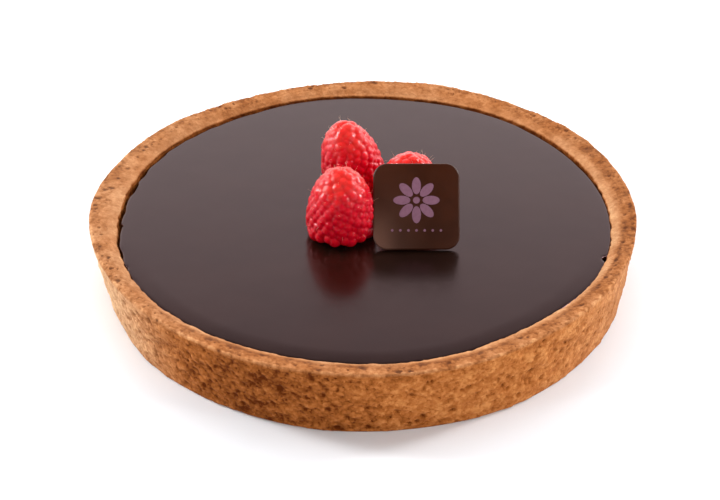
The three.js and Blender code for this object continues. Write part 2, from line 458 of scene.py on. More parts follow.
class Nodes:
    """A material's node tree, with short calls for the nodes that are used."""

    def __init__(self, name):
        self.material = bpy.data.materials.new(name)
        self.material.use_nodes = True
        self.tree = self.material.node_tree
        self.shader = self.tree.nodes["Principled BSDF"]
        self.place = self.tree.nodes.new("ShaderNodeTexCoord").outputs["Object"]

    def link(self, source, target):
        self.tree.links.new(source, target)

    def set(self, **values):
        for key, value in values.items():
            self.shader.inputs[key.replace("_", " ")].default_value = value

    def noise(self, scale, detail=4, roughness=0.55):
        node = self.tree.nodes.new("ShaderNodeTexNoise")
        node.inputs["Scale"].default_value = scale
        node.inputs["Detail"].default_value = detail
        node.inputs["Roughness"].default_value = roughness
        self.link(self.place, node.inputs["Vector"])
        return node.outputs["Fac"]

    def cells(self, scale):
        """Distance from the middle of the nearest cell, and a shade for each cell,
        of cells with wavy sides."""
        wander = self.tree.nodes.new("ShaderNodeTexNoise")
        wander.inputs["Scale"].default_value = scale
        self.link(self.place, wander.inputs["Vector"])
        shift = self.tree.nodes.new("ShaderNodeVectorMath")
        shift.operation = "SCALE"
        shift.inputs["Scale"].default_value = 0.9 / scale
        self.link(wander.outputs["Color"], shift.inputs[0])
        moved = self.tree.nodes.new("ShaderNodeVectorMath")
        self.link(self.place, moved.inputs[0])
        self.link(shift.outputs["Vector"], moved.inputs[1])
        node = self.tree.nodes.new("ShaderNodeTexVoronoi")
        node.inputs["Scale"].default_value = scale
        self.link(moved.outputs["Vector"], node.inputs["Vector"])
        return node.outputs["Distance"], node.outputs["Color"]

    def axis(self, name):
        """How far along X, Y or Z a point lies, in metres."""
        node = self.tree.nodes.new("ShaderNodeSeparateXYZ")
        self.link(self.place, node.inputs["Vector"])
        return node.outputs[name]

    def attribute(self, name):
        node = self.tree.nodes.new("ShaderNodeAttribute")
        node.attribute_name = name
        return node.outputs["Fac"]

    def span(self, value, low, high, to_low=0.0, to_high=1.0):
        node = self.tree.nodes.new("ShaderNodeMapRange")
        node.interpolation_type = "SMOOTHSTEP"
        for key, number in zip(("From Min", "From Max", "To Min", "To Max"),
                               (low, high, to_low, to_high)):
            node.inputs[key].default_value = number
        self.link(value, node.inputs["Value"])
        return node.outputs["Result"]

    def math(self, operation, a, b):
        node = self.tree.nodes.new("ShaderNodeMath")
        node.operation = operation
        for value, target in zip((a, b), node.inputs):
            if isinstance(value, (int, float)):
                target.default_value = value
            else:
                self.link(value, target)
        return node.outputs["Value"]

    def ramp(self, value, stops):
        """Colours of the stops, each at its place, by value. A stop that is moved can
        change the order, so the colours come last."""
        node = self.tree.nodes.new("ShaderNodeValToRGB")
        elements = node.color_ramp.elements
        while len(elements) < len(stops):
            elements.new(0.5)
        for element, (position, _) in zip(elements, stops):
            element.position = position
        for element, (_, colour) in zip(elements, stops):
            element.color = (*colour, 1)
        self.link(value, node.inputs["Fac"])
        return node.outputs["Color"]

    def blend(self, share, a, b):
        """Colour a where share is 0 and colour b where it is 1."""
        node = self.tree.nodes.new("ShaderNodeMix")
        node.data_type = "RGBA"
        for value, target in zip((share, a, b), (node.inputs[0], node.inputs[6], node.inputs[7])):
            if isinstance(value, (int, float)):
                target.default_value = value
            elif hasattr(value, "is_linked"):
                self.link(value, target)
            else:
                target.default_value = (*value, 1)
        return node.outputs[2]

    def bump(self, height, distance, strength=1.0, before=None):
        node = self.tree.nodes.new("ShaderNodeBump")
        node.inputs["Strength"].default_value = strength
        node.inputs["Distance"].default_value = distance
        self.link(height, node.inputs["Height"])
        if before:
            self.link(before, node.inputs["Normal"])
        return node.outputs["Normal"]

    def finish(self, colour=None, roughness=None, normal=None):
        for source, key in ((colour, "Base Color"), (roughness, "Roughness"), (normal, "Normal")):
            if source is not None:
                self.link(source, self.shader.inputs[key])
        return self.material


def crust_material(crust):
    """Coloured by one value, with painted shade: dark in the pits, golden on the
    crumbs, and paler where the flour and painted sheen show."""
    nodes = Nodes("baked_shortcrust")
    grains = nodes.noise(480, 4, 0.6)
    patches = nodes.noise(170, 3)
    dark_specks = nodes.span(nodes.noise(800, 2), 0.30, 0.42, -0.30, 0.0)
    light_specks = nodes.span(nodes.noise(1100, 2), 0.60, 0.74, 0.0, 0.26)
    crumb_middle, crumb_shade = nodes.cells(760)
    # Each crumb has a random tone of its own and is darker towards its edge: painted shade between the
    # crumbs.
    crumbs = nodes.math("ADD", nodes.span(crumb_shade, 0.15, 0.85, -0.11, 0.11),
                        nodes.span(crumb_middle, 0.25, 0.75, 0.04, -0.10))
    speckle = nodes.math("ADD", nodes.span(grains, 0.28, 0.72, -0.15, 0.15), dark_specks)
    speckle = nodes.math("ADD", speckle, light_specks)
    speckle = nodes.math("ADD", speckle, crumbs)
    # The ramp's value: the baked tone together with the painted shade that the tone attribute carries.
    bake = nodes.math("MULTIPLY", speckle, nodes.attribute("grain"))
    bake = nodes.math("ADD", bake, nodes.span(patches, 0.3, 0.7, 0.48, 0.66))
    bake = nodes.math("ADD", bake, nodes.attribute("tone"))
    colour = nodes.ramp(bake, (
        (0.0, crust.browned_and_shaded), (0.32, crust.toasted), (0.62, crust.baked), (0.95, crust.golden)))
    # The pale tone shows more on lighter crust. Where it is strongest, at the left, it is painted sheen.
    paler_where_lighter = nodes.span(bake, 0.15, 1.0, 0.06, 0.24)
    flour_and_sheen = nodes.math("MULTIPLY", nodes.attribute("flour_and_sheen"), paler_where_lighter)
    colour = nodes.blend(flour_and_sheen, colour, tuple(crust.flour_and_sheen))
    roughness = nodes.span(grains, 0.3, 0.7, 0.9, 0.74)
    normal = nodes.bump(nodes.noise(800, 3, 0.55), 0.3 * MM, 0.65)
    normal = nodes.bump(nodes.span(crumb_middle, 0.0, 0.9, 1.0, 0.0), 0.3 * MM, 0.7, normal)
    nodes.set(Specular_IOR_Level=0.06)
    return nodes.finish(colour, roughness, normal)


def turn_between(a, b):
    """The smaller angle between two directions."""
    return abs((a - b + math.pi) % (2 * math.pi) - math.pi)


def busy_at(angle):
    """How rough the wall is at an angle: most at the front left."""
    away = min(1.15 * turn_between(angle, ROUGHEST), math.pi / 2)
    return 0.2 + 0.8 * max(0.0, math.cos(away)) ** 0.8


def wall_tone_at(angle):
    """How light the wall is at an angle: darkest at the front left, and darker on the side at the back
    right.
    """
    darkest = math.exp(-(turn_between(angle, DARKEST_WALL) / DARKEST_WALL_SPREAD) ** 2)
    darker_side = smooth_step(math.cos(angle - DARKER_WALL_SIDE), -0.34, 0.5)
    return 0.16 - 0.40 * darkest - 0.18 * darker_side


def wall_flour_and_sheen_at(angle):
    """How pale the wall is at an angle: least at the front, and most at the far left, where the paleness
    is painted sheen.
    """
    pale = 0.7 * (1 - smooth_step(-math.sin(angle), 0.25, 0.9))
    return pale + 1.4 * smooth_step(-math.cos(angle), 0.6, 0.95)


def on_wall(crust, angle, height):
    radius = mix(crust.foot_radius, crust.rim_radius, height / crust.height)
    return Vector((radius * math.cos(angle), radius * math.sin(angle), height))


def on_rim(crust, angle, from_edge):
    radius = crust.rim_radius - from_edge
    return Vector((radius * math.cos(angle), radius * math.sin(angle), crust.height - 0.1 * MM))


class Spots(NamedTuple):
    """A kind of round spot on the crust: how many, what they lie on, from where to
    where (up the wall or in from the edge) and their smallest and largest radius,
    in millimetres, how far small ones outnumber large ones, and whether they keep
    to the busy part of the wall."""

    count: int
    place_on: Callable
    start: float
    end: float
    smallest: float
    largest: float
    crowding: int
    busy_only: bool = False


# The pits that air bubbles left in the dough, large and small ones on the wall and
# a few on the rim, and the raised crumbs of wall, crest and rim
PITS = (
    Spots(270, on_wall, 1.0, 23.0, 0.7, 1.35, 2, busy_only=True),
    Spots(1350, on_wall, 1.0, 23.0, 0.35, 0.65, 2, busy_only=True),
    Spots(170, on_rim, 0.8, 4.6, 0.4, 1.0, 2),
)
CRUMBS = (
    Spots(1400, on_wall, 0.8, 23.5, 0.4, 0.75, 1),
    Spots(700, on_rim, -0.1, 0.8, 0.35, 0.65, 2),
    Spots(350, on_rim, 1.0, 4.5, 0.35, 0.7, 1),
)


def scatter_spots(crust, kinds, dice):
    """A search tree of the spots, and the place and radius of each."""
    spots = []
    for kind in kinds:
        wanted = len(spots) + kind.count
        while len(spots) < wanted:
            angle = dice.uniform(-math.pi, math.pi)
            if kind.busy_only and dice.random() > busy_at(angle):
                continue
            place = kind.place_on(crust, angle, dice.uniform(kind.start, kind.end) * MM)
            size = mix(kind.smallest, kind.largest, dice.random() ** kind.crowding) * MM
            spots.append((place, size))
    return tree_of(spots), spots


def tree_of(spots):
    tree = kdtree.KDTree(len(spots))
    for index, (place, _) in enumerate(spots):
        tree.insert(place, index)
    tree.balance()
    return tree


def cover(tree, spots, place, reach):
    """How deep a point lies in the spots round it, 0 outside and 1 in the middle,
    and the radius of the spot that this is."""
    deepest = 0
    size_there = 0
    for _, index, distance in tree.find_range(place, reach):
        size = spots[index][1]
        depth = 1 - (distance / size) ** 2
        if depth > 0 and depth * size > deepest * size_there:
            deepest = depth
            size_there = size
    return deepest, size_there


class CrustPoint:
    """One point of the crust, with its share of lumps, pits, crumbs and cracks.

    rim, slope, back, lip and crest say, from 0 to 1, how far it belongs to the top
    of the wall, the rim's inner slope, the slope's far side, the inner face and the
    outer corner. Pits and crumbs are each a search tree and its spots."""

    def __init__(self, crust, pits, crumbs, place, inside):
        x, y, z = place
        self.place = place
        self.radius = math.hypot(x, y)
        self.angle = math.atan2(y, x)
        self.inside = inside
        self.busy = busy_at(self.angle)
        self.from_edge = crust.rim_radius - self.radius
        on_top = smooth_step(z, 23.9 * MM, 24.8 * MM)
        self.rim = max(on_top, smooth_step(self.from_edge, 1.2 * MM, 2.2 * MM))
        self.rim *= smooth_step(z, 21.9 * MM, 22.6 * MM)
        self.slope = self.rim * smooth_step(self.from_edge, 3.4 * MM, 6.6 * MM)
        # The far side of the inner slope is painted darker and less pale: painted shade where it faces
        # away from the light.
        self.back = self.slope * smooth_step(math.sin(self.angle), 0.1, 0.9)
        self.lip = smooth_step(inside, 0.8, 1.0)
        corner = math.hypot(0.3 * MM - self.from_edge, z - crust.height + 0.1 * MM)
        self.crest = math.exp(-(corner / (0.65 * MM)) ** 2)
        self.rough = mix(0.15 + 0.85 * self.busy, mix(0.34, 0.15, self.slope), self.rim)
        self.draw_noise()
        self.find_spots(pits, crumbs)

    def draw_noise(self):
        """Noise of several sizes, and the cracks and grooves that go with it."""
        place = self.place
        self.pebble = noise.fractal(place * PEBBLES, 0.9, 2.1, 3)
        self.patch = noise.noise(place * PATCHES)
        self.fine = noise.noise(place * GRAINS)
        self.flakes = noise.fractal(place * FLAKES, 0.7, 2.2, 3)
        self.crevice = smooth_step(-self.pebble, 0.12, 0.55) * self.rough
        across = noise.noise(Vector((16 * self.angle, self.radius / (14 * MM), 3.3)))
        self.seam = 1 - smooth_step(abs(across), 0.0, 0.06)
        self.seam *= self.rim * (1 - self.slope) * smooth_step(noise.noise(place * 70), -0.1, 0.2)
        along = Vector((10 * self.angle, self.radius / (1.1 * MM), 7.7))
        self.streak = self.rim * noise.noise(along)
        # The band under the overhanging brow: set back, and darkened in tone as painted shadow.
        under_brow = math.exp(-((place.z - 23.2 * MM) / (0.7 * MM)) ** 2)
        self.under = (1 - self.inside) * under_brow * self.busy
        self.groove = self.rim * smooth_step(math.cos(self.angle - GROOVED), -0.4, 0.4)
        self.groove *= math.exp(-((self.from_edge - 4.4 * MM) / (1.4 * MM)) ** 2)

    def find_spots(self, pits, crumbs):
        """How deep the point lies in the nearest pit and in the nearest crumb."""
        shift = noise.noise_vector(self.place * SHIFTS) * 0.35 * MM
        self.pit, self.pit_size = cover(*pits, self.place + shift, 1.5 * MM)
        self.crumb, self.crumb_size = cover(*crumbs, self.place + 0.6 * shift, 1.3 * MM)

    def small_relief(self):
        """How far the surface stands out from its broad shape."""
        out = MM * self.rough * (0.25 * min(self.pebble, 0.6) + 0.14 * self.fine + 0.15 * self.patch)
        out += 0.3 * self.crumb * self.crumb_size - 0.5 * self.pit * self.pit_size
        out -= MM * (0.2 * self.crevice + 0.2 * self.seam)
        out -= MM * self.under * (0.08 + 0.3 * max(self.patch + 0.2, 0))
        return out + MM * self.crest * (0.05 + 0.3 * self.flakes) * mix(0.5, 1, self.busy)

    def moved(self, crust, move, rise):
        """The place of the point on the finished shell."""
        x, y, z = self.place
        outward = Vector((x / self.radius, y / self.radius, 0))
        facing = 1 - 2 * smooth_step(self.inside, 0.6, 1)
        face = outward * (1 - self.rim) * facing + Vector((0, 0, self.rim))
        calm = mix(1, 0.35, smooth_step(z, 14 * MM, 23 * MM))
        broad = (1 - self.inside) * calm * crust.relief * lumps(x / MM, y / MM, z / MM, BROAD_LUMP)
        ragged = 0.4 * MM * self.lip * (noise.fractal(self.place * PEBBLES, 0.8, 2.0, 3) - 0.1)
        wavy = 0.5 * crust.relief * lumps(x / MM + 40, y / MM, z / MM, BROAD_LUMP)
        place = self.place + outward * (move + broad - ragged) + face * self.small_relief()
        place.z += smooth_step(z, 22.7 * MM, crust.height) * (rise + wavy)
        place.z = max(place.z - 0.25 * MM * self.groove, 0.0)
        return place

    def gap_shade(self):
        """How dark the point is painted, low on the inner face: painted shade in the gap where the
        chocolate draws back.
        """
        behind = smooth_step(math.sin(self.angle), -0.3, 0.3)
        start, end = (mix(a, b, behind) for a, b in zip(GAP_SHADE_AT_FRONT, GAP_SHADE_AT_BACK))
        return self.lip * (1 - smooth_step(self.place.z, start, end))

    def rim_tone(self):
        """How light the top is baked: darkest at its outer edge, at the right, and painted darker on the
        far side of its inner slope as shade.
        """
        right = max(0, math.cos(self.angle - DARK_RIM)) ** 4
        outer = 1 - smooth_step(self.from_edge, 1.8 * MM, 3.6 * MM)
        tone = -0.10 - (0.06 + 0.12 * right) * outer + 0.12 * self.slope - 0.24 * self.groove
        return tone + 0.08 * self.slope * math.cos(self.angle) + 0.08 * self.streak - 0.12 * self.back

    def tone(self):
        """How light the point is: its baked tone, with painted shade in pits, hollows and cracks, under
        the brow, on the rim's far slope and in the chocolate's gap.
        """
        tone = mix(wall_tone_at(self.angle), self.rim_tone(), self.rim)
        # The pebble term makes the tops of the lumps lighter and their hollows darker: painted shade.
        tone += mix(0.10, 0.06, self.rim) * self.patch + 0.10 * self.pebble * self.rough
        tone += 0.14 * self.crumb * self.crumb_size / (0.8 * MM)
        # Pits and, in the next line, cracks, hollows and the band under the brow are darkened: painted
        # shade.
        tone -= self.pit * (0.16 + 0.22 * self.rim + 0.24 * self.pit_size / MM)
        tone -= 0.08 * self.crevice + 0.10 * self.seam + 0.10 * self.under * (0.4 + self.patch)
        # The outer corner is lighter: partly golden flakes, partly a painted highlight along the edge.
        tone += self.crest * (0.12 + 0.5 * self.flakes)
        # The top of the inner face is a little lighter, and its foot is painted darker in the next line:
        # painted shade of the gap at the chocolate's edge.
        tone += 0.06 * self.lip * smooth_step(self.place.z, 22.6 * MM, 23.1 * MM)
        return max(min(tone - 0.46 * self.gap_shade(), 0.5), -0.65)

    def grain(self):
        """How strong the fine speckle of the material is."""
        return mix(0.34 + 0.56 * self.busy, mix(0.62, 0.4, self.slope), self.rim)

    def flour_and_sheen(self):
        """How much pale flour and painted sheen show: none where the gap's painted shade lies."""
        left = smooth_step(-math.cos(self.angle), 0.5, 1.0)
        on_rim_flour_and_sheen = mix(0.6 + 0.4 * left, 1.0, self.slope) - 0.3 * self.back
        flour_and_sheen = mix(wall_flour_and_sheen_at(self.angle), on_rim_flour_and_sheen, self.rim) + 0.3 * self.patch * self.rim
        return flour_and_sheen * (1 - self.gap_shade())


def crust_profile(crust):
    """Half the section of the shell, from the middle of its foot up the wall, over
    the rim and down to the floor of the cavity."""
    inner_radius = crust.rim_radius - crust.rim_width
    lip_height = crust.height - RIM_FALL - RIM_EDGE
    rim_start = (crust.rim_radius - RIM_EDGE, crust.height)
    rim_end = (inner_radius + RIM_EDGE, crust.height - RIM_FALL)
    rim_span = rim_start[0] - rim_end[0]
    rim = [(r, crust.height - RIM_FALL * ((rim_start[0] - r) / rim_span) ** 3)
           for r, _ in stretch(rim_start, rim_end, 0.45 * MM)]
    foot = (crust.foot_radius - FOOT_EDGE, 0.0)
    brow = (crust.rim_radius, crust.height - RIM_EDGE)
    lip = (inner_radius, lip_height)
    return [
        (0.0, 0.0),
        *stretch((0.0, 0.0), foot, 22 * MM),
        *arc((foot[0], FOOT_EDGE), FOOT_EDGE, -90, 0, 3),
        *stretch((crust.foot_radius, FOOT_EDGE), brow, 0.5 * MM),
        *arc((rim_start[0], brow[1]), RIM_EDGE, 0, 90, 3),
        *rim,
        *arc((rim_end[0], lip_height), RIM_EDGE, 90, 180, 3),
        *stretch(lip, (inner_radius - 0.4 * MM, lip_height - 2.4 * MM), 0.6 * MM),
        (inner_radius - CAVITY_TAPER, CAVITY_FLOOR),
        (0.0, CAVITY_FLOOR),
    ]


class TART_OT_bake_crust(Operator):
    """Bake the round shortcrust shell with its pits, crumbs and ragged rim"""

    bl_idname = "tart.bake_crust"
    bl_label = "Bake Crust"

    def execute(self, context):
        crust = context.scene.tart_crust
        piece = turn_profile("baked_crust", crust_profile(crust), crust.around)
        self.roughen(piece, crust)
        bpy.ops.object.shade_smooth()
        piece.data.materials.append(crust_material(crust))
        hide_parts("tart_shell")
        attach(piece, "root")
        return {"FINISHED"}

    def roughen(self, piece, crust):
        """Moves every vertex to the hand-made outline. Where it shows, it gets its
        share of lumps, pits, crumbs and cracks, and a browned tone with painted shade."""
        noise.seed_set(CRUST_SEED)
        dice = random.Random(CRUST_SEED)
        pits = scatter_spots(crust, PITS, dice)
        crumbs = scatter_spots(crust, CRUMBS, dice)
        covered = crust.rim_radius - crust.rim_width - 0.8 * MM
        looks = []
        for vertex in piece.data.vertices:
            x, y, z = vertex.co
            move, inside, rise = hand_shape(crust, x, y, z)
            if z < 0.2 * MM or math.hypot(x, y) < covered or z < 20 * MM and inside > 0.9:
                push_out(vertex, move)
                looks.append((0, 1, 0))
                continue
            point = CrustPoint(crust, pits, crumbs, vertex.co.copy(), inside)
            vertex.co = point.moved(crust, move, rise)
            looks.append((point.tone(), point.grain(), point.flour_and_sheen()))
        for name, values in zip(("tone", "grain", "flour_and_sheen"), zip(*looks)):
            add_attribute(piece, name, values)


def chocolate_material(chocolate):
    nodes = Nodes("poured_chocolate")
    clouds = nodes.span(nodes.noise(60, 3), 0.3, 0.7)
    colour = tuple(chocolate.colour)
    colour = nodes.blend(clouds, colour, tuple(1.35 * c for c in colour))
    fine = nodes.noise(300, 3)
    roughness = nodes.span(fine, 0.3, 0.7, chocolate.roughness - 0.02, chocolate.roughness + 0.02)
    normal = nodes.bump(nodes.noise(45, 2), 0.12 * MM, 0.4)
    normal = nodes.bump(nodes.noise(3200, 1), 0.004 * MM, 1.0, normal)
    nodes.set(IOR=1.54, Specular_Tint=(1.0, 0.50, 0.55, 1))
    return nodes.finish(colour, roughness, normal)


def gap_at(angle):
    """How far the set chocolate has drawn back from the crust: most at the left,
    in a ragged line, less at the back, and in the nicks."""
    left = smooth_step(math.cos(angle - WIDE_GAP), 0.5, 0.9)
    back = smooth_step(math.sin(angle), 0.1, 0.5)
    wander = noise.noise(Vector((16 * math.cos(angle), 16 * math.sin(angle), 1.5)))
    back_right = math.exp(-((angle - SMALL_GAP) / SMALL_GAP_SPREAD) ** 2)
    gap = 1.15 * left + 0.65 * back * (1 - left) + 0.6 * back_right
    gap = max(0.0, gap + (0.25 + 0.55 * left) * wander)
    for place, half_width, depth in NICKS:
        away = turn_between(angle, math.radians(place)) / math.radians(half_width)
        gap += depth * math.exp(-away ** 4)
    return gap * MM


def chocolate_profile(inner_radius, edge, flat, bottom, top):
    """Half the section of the filling, from the middle of its floor out to the edge
    and back over its flat top."""
    shares = [0.12 * i for i in range(1, 7)] + [0.78, 0.85, 0.90, 0.94, 0.97, 0.985, 1.0]
    rounding = [(mix(flat, edge, s), top - EDGE_DROP * s ** 24) for s in shares]
    floor_edge = (inner_radius - CAVITY_TAPER, bottom)
    return [
        (0.0, bottom),
        floor_edge,
        *stretch(floor_edge, (edge, top - EDGE_DEPTH), 4 * MM),
        *reversed(rounding),
        (flat, top),
        *stretch((flat, top), (0.0, top), 6 * MM),
    ]


class TART_OT_pour_chocolate(Operator):
    """Pour the chocolate up to the lip of the crust"""

    bl_idname = "tart.pour_chocolate"
    bl_label = "Pour Chocolate"

    def execute(self, context):
        crust = context.scene.tart_crust
        chocolate = context.scene.tart_chocolate
        low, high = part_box("chocolate_filling")
        bottom = low[2]
        top = high[2] - CREEP
        inner_radius = crust.rim_radius - crust.rim_width
        edge = inner_radius + EDGE_REACH
        flat = edge - EDGE_WIDTH
        profile = chocolate_profile(inner_radius, edge, flat, bottom, top)
        piece = turn_profile("poured_chocolate", profile, chocolate.around)
        for vertex in piece.data.vertices:
            x, y, z = vertex.co
            radius = math.hypot(x, y)
            if radius == 0:
                continue
            move, _, _ = hand_shape(crust, x, y, z)
            near_edge = smooth_step(radius, edge - 2.5 * MM, edge)
            front = smooth_step(-y / radius, -0.3, 0.8)
            fall = smooth_step(radius, flat, edge + EDGE_WIDTH) * mix(0.1, 0.6, front) * MM
            push_out(vertex, move - near_edge * gap_at(math.atan2(y, x)))
            vertex.co.z -= fall * smooth_step(z, bottom, top)
        bpy.ops.object.shade_smooth_by_angle(angle=math.radians(50))
        piece.data.materials.append(chocolate_material(chocolate))
        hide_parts("chocolate_filling")
        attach(piece, "root")
        return {"FINISHED"}


def berry_curve(berry, settings, t):
    """Radius and height of the curve that the drupelets' middles lie on, from foot
    (t is 0) to tip (t is 1)."""
    ball = settings.drupelet_radius
    narrowing = (1 - t ** berry.bluntness) ** 0.62 - 0.06 * (1 - t) ** 6
    return (berry.radius * MM - ball) * narrowing, ball + t * (berry.height * MM - 2 * ball)


def drupelets(berry, settings):
    """Middle, size and height share of each drupelet. They lie on one spiral from
    foot to tip, each with the same share of the skin."""
    curve = [berry_curve(berry, settings, i / CURVE_STEPS) for i in range(CURVE_STEPS + 1)]
    skin = [0.0]
    for start, end in zip(curve, curve[1:]):
        skin.append(skin[-1] + math.pi * (start[0] + end[0]) * math.dist(start, end))
    share = math.sqrt(0.75) * settings.stretch * settings.drupelet_pitch ** 2
    count = math.floor(skin[-1] / share)
    found = []
    for n in range(count):
        t = bisect.bisect_left(skin, (n + 0.5) / count * skin[-1]) / CURVE_STEPS
        radius, height = berry_curve(berry, settings, t)
        sideways, up, swelling = (scatter(berry.seed + 3 * n + i) - 0.5 for i in range(3))
        angle = berry.turn + GOLDEN_ANGLE * n + DRUPELET_WANDER * sideways / max(radius, MM)
        on_circle = Vector((math.cos(angle), math.sin(angle), 0))
        radius *= 1 + 0.05 * noise.noise(1.4 * on_circle + Vector((0, 0, 0.37 * berry.seed)))
        middle = radius * on_circle
        middle.x += t * berry.tip_x * MM
        middle.z = height + DRUPELET_WANDER * up * (1 - t)
        found.append((middle, settings.drupelet_radius * (1 - 0.15 * t) * (1 + 0.3 * swelling), t))
    return found


def raspberry_material(settings):
    nodes = Nodes("raspberry_flesh")
    tip = nodes.attribute("tip")
    crease = nodes.attribute("crease")
    own_tone = nodes.attribute("own_tone")
    ripe, bright, deep = tuple(settings.ripe), tuple(settings.bright), tuple(settings.deep)
    # The share of the bright colour grows towards the tip, partly as painted light from above, with a
    # random tone for each drupelet.
    share = nodes.math("ADD", nodes.span(tip, 0.45, 1.0, 0.0, 0.85),
                       nodes.span(own_tone, 0.0, 1.0, -0.16, 0.10))
    colour = nodes.blend(nodes.span(share, 0.0, 1.0), ripe, bright)
    cells = nodes.span(nodes.noise(1700, 3), 0.35, 0.7, 0.0, 0.05)
    colour = nodes.blend(cells, colour, bright)
    # Darker in the creases between the drupelets: painted shade.
    colour = nodes.blend(nodes.span(crease, 0.2, 1.0, 0.0, 0.15), colour, deep)
    roughness = nodes.span(nodes.noise(2200, 3), 0.3, 0.7, 0.05, 0.09)
    normal = nodes.bump(nodes.noise(900, 2), 0.06 * MM, 0.15)
    nodes.set(Subsurface_Weight=0.6, Subsurface_Radius=(1.0, 0.2, 0.15),
              Subsurface_Scale=2.2 * MM, IOR=1.5, Specular_Tint=(1.0, 0.60, 0.61, 1),
              Sheen_Weight=0.02, Sheen_Roughness=0.12, Sheen_Tint=(1.0, 0.7, 0.7, 1))
    return nodes.finish(colour, roughness, normal)


def hair_material():
    nodes = Nodes("raspberry_hair")
    colour = nodes.blend(nodes.span(nodes.noise(500, 2), 0.35, 0.65), HAIR_AMBER, HAIR_PALE)
    nodes.set(Roughness=0.5)
    return nodes.finish(colour)


